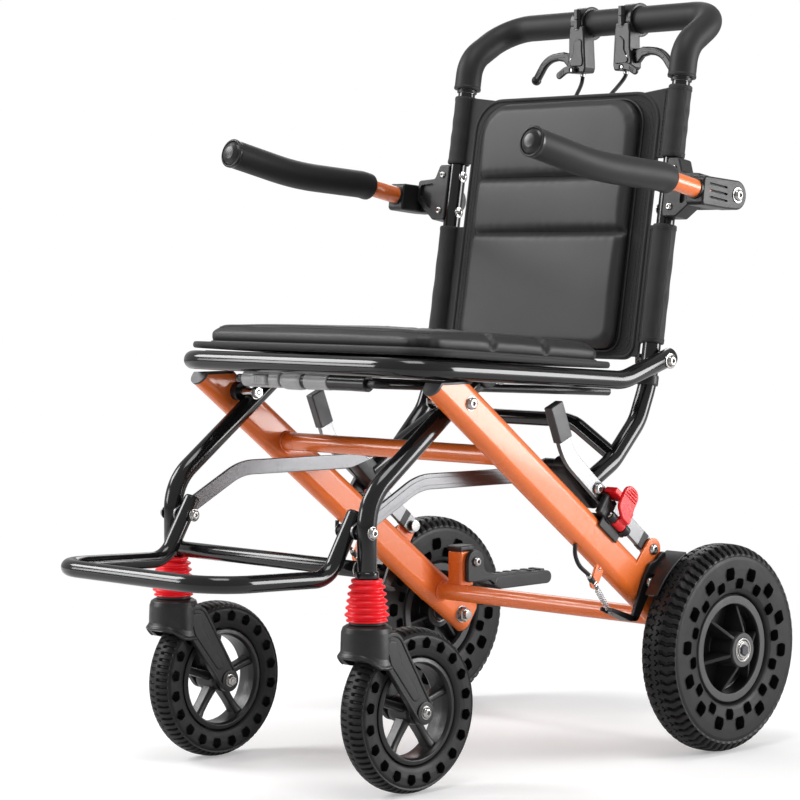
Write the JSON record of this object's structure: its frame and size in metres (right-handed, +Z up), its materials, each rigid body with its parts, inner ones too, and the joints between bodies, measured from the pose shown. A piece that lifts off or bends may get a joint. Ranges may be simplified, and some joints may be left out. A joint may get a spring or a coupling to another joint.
{
  "type": "folding wheelchair",
  "caption": "Folding transit wheelchair with an arm frame, swivelling front casters, solid rear tyres, swing-up armrests and footrest, push handle and hand brakes.",
  "frame": {"origin": "centre of the bounding box, on the floor", "axes": "+Z up, the chair faces -Y, +X is the sitter's left"},
  "size_m": [0.5676, 0.8506, 0.9135],
  "materials": {
    "orange_paint": "gloss orange enamel",
    "black_paint": "gloss black enamel",
    "black_plastic": "matt black moulding",
    "black_metal": "satin black",
    "tyre_rubber": "matt solid tyre",
    "foam": "matt black foam",
    "red_rubber": "satin red rubber",
    "red_plastic": "red moulding",
    "silver": "polished",
    "grey_bar": "satin grey",
    "grey_grip": "satin grey",
    "spring_steel": "bright wire",
    "black_leather": "grained black",
    "black_fabric": "woven black",
    "cable_housing": "black housing"
  },
  "bodies": {
    "frame": {"arm_left": "orange_paint", "arm_right": "orange_paint", "cross_tube_upper": "orange_paint", "cross_tube_lower": "orange_paint", "saddle_left": "black_plastic", "saddle_right": "black_plastic", "brake_spring_left": "spring_steel", "brake_spring_right": "spring_steel", "cable_lower_left": "cable_housing", "cable_lower_right": "cable_housing"},
    "rear_wheel_left": {"rear_tyre_left": "tyre_rubber", "rear_rim_left": "black_plastic"},
    "rear_wheel_right": {"rear_tyre_right": "tyre_rubber", "rear_rim_right": "black_plastic"},
    "brake_left": {"brake_arm_left": "black_metal"},
    "brake_right": {"brake_arm_right": "black_metal"},
    "tip_pedal": {"tip_pedal": "black_plastic"},
    "front_legs": {"leg_frame": "black_paint", "bellows_left": "red_rubber", "bellows_right": "red_rubber"},
    "stem_left": {"stem_left": "silver"},
    "stem_right": {"stem_right": "silver"},
    "fork_left": {"fork_left": "black_plastic"},
    "fork_right": {"fork_right": "black_plastic"},
    "caster_left": {"caster_tyre_left": "tyre_rubber", "caster_rim_left": "black_plastic"},
    "caster_right": {"caster_tyre_right": "tyre_rubber", "caster_rim_right": "black_plastic"},
    "footrest": {"footrest": "black_paint"},
    "levers": {"lever_left": "silver", "lever_right": "silver"},
    "back": {"back_tube_left": "black_paint", "back_tube_right": "black_paint", "back_arch": "black_paint", "push_handle": "black_paint", "handle_foam": "foam", "back_panel": "black_fabric", "back_cushion": "black_leather", "armrest_bracket_left": "black_plastic", "armrest_bracket_right": "black_plastic", "brake_body_left": "black_metal", "brake_body_right": "black_metal", "brake_cables": "cable_housing"},
    "seat": {"seat_frame": "black_paint", "seat_board": "black_plastic", "seat_cushion": "black_leather"},
    "pull_handle": {"pull_handle": "grey_grip"},
    "pull_button": {"pull_button": "grey_grip"},
    "links": {"link_left": "grey_bar", "link_right": "grey_bar"},
    "latch_left": {"latch_left": "red_plastic"},
    "latch_right": {"latch_right": "red_plastic"},
    "armrest_left": {"armrest_arm_left": "orange_paint", "armrest_foam_left": "foam"},
    "armrest_right": {"armrest_arm_right": "orange_paint", "armrest_foam_right": "foam"},
    "hand_lever_left": {"brake_lever_left": "black_metal"},
    "hand_lever_right": {"brake_lever_right": "black_metal"},
    "lock_tab_left": {"lock_tab_left": "black_metal"},
    "lock_tab_right": {"lock_tab_right": "black_metal"}
  },
  "joints": [
    {"name": "fold", "type": "hinge", "parent": "frame", "child": "front_legs", "pos_m": [0, -0.09825, 0.432], "axis": [1, 0, 0], "range_deg": [0, 55]},
    {"name": "lever_turn", "type": "hinge", "parent": "frame", "child": "levers", "pos_m": [0, 0.21775, 0.246], "axis": [1, 0, 0], "range_deg": [-84.1, 0]},
    {"name": "back_turn", "type": "hinge", "parent": "levers", "child": "back", "pos_m": [0, 0.12075, 0.324], "axis": [1, 0, 0], "range_deg": [0, 153.7]},
    {"name": "seat_turn", "type": "hinge", "parent": "back", "child": "seat", "pos_m": [0, 0.24075, 0.47], "axis": [1, 0, 0], "range_deg": [-68.9, 0]},
    {"name": "link_turn", "type": "hinge", "parent": "front_legs", "child": "links", "pos_m": [0, -0.21825, 0.294], "axis": [1, 0, 0], "range_deg": [-51.2, 0]},
    {"name": "rear_spin_left", "type": "hinge", "parent": "frame", "child": "rear_wheel_left", "pos_m": [0.244, 0.29575, 0.125], "axis": [1, 0, 0], "continuous": true},
    {"name": "suspension_left", "type": "slide", "parent": "front_legs", "child": "stem_left", "axis": [0, 0, 1], "range_m": [0, 0.012], "stiffness_N_per_m": 8000, "springref_m": -0.004, "deforming": ["bellows_left"]},
    {"name": "swivel_left", "type": "hinge", "parent": "stem_left", "child": "fork_left", "pos_m": [0.1622, -0.21625, 0.194], "axis": [0, 0, 1], "continuous": true},
    {"name": "caster_spin_left", "type": "hinge", "parent": "fork_left", "child": "caster_left", "pos_m": [0.1622, -0.15325, 0.0925], "axis": [1, 0, 0], "continuous": true},
    {"name": "latch_turn_left", "type": "hinge", "parent": "frame", "child": "latch_left", "pos_m": [0.212, 0.14538, 0.28237], "axis": [0, 0.7974, -0.6034], "range_deg": [0, 30]},
    {"name": "armrest_turn_left", "type": "hinge", "parent": "back", "child": "armrest_left", "pos_m": [0.249, 0.30375, 0.667], "axis": [1, 0, 0], "range_deg": [-95, 0]},
    {"name": "hand_brake_left", "type": "hinge", "parent": "back", "child": "hand_lever_left", "pos_m": [0.042, 0.36475, 0.846], "axis": [0, -1, 0], "range_deg": [0, 12], "stiffness_Nm_per_rad": 1.5, "springref_deg": -5.73},
    {"name": "brake_turn_left", "type": "hinge", "parent": "frame", "child": "brake_left", "pos_m": [0.2068, 0.20375, 0.208], "axis": [1, 0, 0], "range_deg": [-2.6, 0]},
    {"name": "lock_turn_left", "type": "hinge", "parent": "back", "child": "lock_tab_left", "pos_m": [0.042, 0.35415, 0.832], "axis": [0, -1, 0], "range_deg": [0, 35]},
    {"name": "rear_spin_right", "type": "hinge", "parent": "frame", "child": "rear_wheel_right", "pos_m": [-0.244, 0.29575, 0.125], "axis": [1, 0, 0], "continuous": true},
    {"name": "suspension_right", "type": "slide", "parent": "front_legs", "child": "stem_right", "axis": [0, 0, 1], "range_m": [0, 0.012], "stiffness_N_per_m": 8000, "springref_m": -0.004, "deforming": ["bellows_right"]},
    {"name": "swivel_right", "type": "hinge", "parent": "stem_right", "child": "fork_right", "pos_m": [-0.1622, -0.21625, 0.194], "axis": [0, 0, 1], "continuous": true},
    {"name": "caster_spin_right", "type": "hinge", "parent": "fork_right", "child": "caster_right", "pos_m": [-0.1622, -0.15325, 0.0925], "axis": [1, 0, 0], "continuous": true},
    {"name": "latch_turn_right", "type": "hinge", "parent": "frame", "child": "latch_right", "pos_m": [-0.212, 0.14538, 0.28237], "axis": [0, -0.7974, 0.6034], "range_deg": [0, 30]},
    {"name": "armrest_turn_right", "type": "hinge", "parent": "back", "child": "armrest_right", "pos_m": [-0.249, 0.30375, 0.667], "axis": [1, 0, 0], "range_deg": [-95, 0]},
    {"name": "hand_brake_right", "type": "hinge", "parent": "back", "child": "hand_lever_right", "pos_m": [-0.042, 0.36475, 0.846], "axis": [0, 1, 0], "range_deg": [0, 12], "stiffness_Nm_per_rad": 1.5, "springref_deg": -5.73},
    {"name": "brake_turn_right", "type": "hinge", "parent": "frame", "child": "brake_right", "pos_m": [-0.2068, 0.20375, 0.208], "axis": [1, 0, 0], "range_deg": [-2.6, 0]},
    {"name": "lock_turn_right", "type": "hinge", "parent": "back", "child": "lock_tab_right", "pos_m": [-0.042, 0.35415, 0.832], "axis": [0, 1, 0], "range_deg": [0, 35]},
    {"name": "footrest_turn", "type": "hinge", "parent": "front_legs", "child": "footrest", "pos_m": [0, -0.21825, 0.294], "axis": [1, 0, 0], "range_deg": [-90, 0]},
    {"name": "tip_pedal_turn", "type": "hinge", "parent": "frame", "child": "tip_pedal", "pos_m": [-0.16, 0.27875, 0.199], "axis": [1, 0, 0], "range_deg": [0, 60]},
    {"name": "pull_slide", "type": "slide", "parent": "seat", "child": "pull_handle", "axis": [0, -0.9985, 0.0539], "range_m": [0, 0.018]},
    {"name": "button_press", "type": "slide", "parent": "pull_handle", "child": "pull_button", "axis": [0, 1, 0], "range_m": [0, 0.002], "stiffness_N_per_m": 500, "springref_m": -0.001}
  ],
  "couplings": [
    {"joint": "lever_turn", "follows": "fold", "ratio": -1.528},
    {"joint": "back_turn", "follows": "fold", "ratio": 2.7926},
    {"joint": "seat_turn", "follows": "fold", "ratio": -1.2512},
    {"joint": "link_turn", "follows": "fold", "ratio": -0.92869},
    {"joint": "brake_turn_left", "follows": "hand_brake_left", "ratio": -0.2},
    {"joint": "brake_turn_right", "follows": "hand_brake_right", "ratio": -0.2}
  ]
}
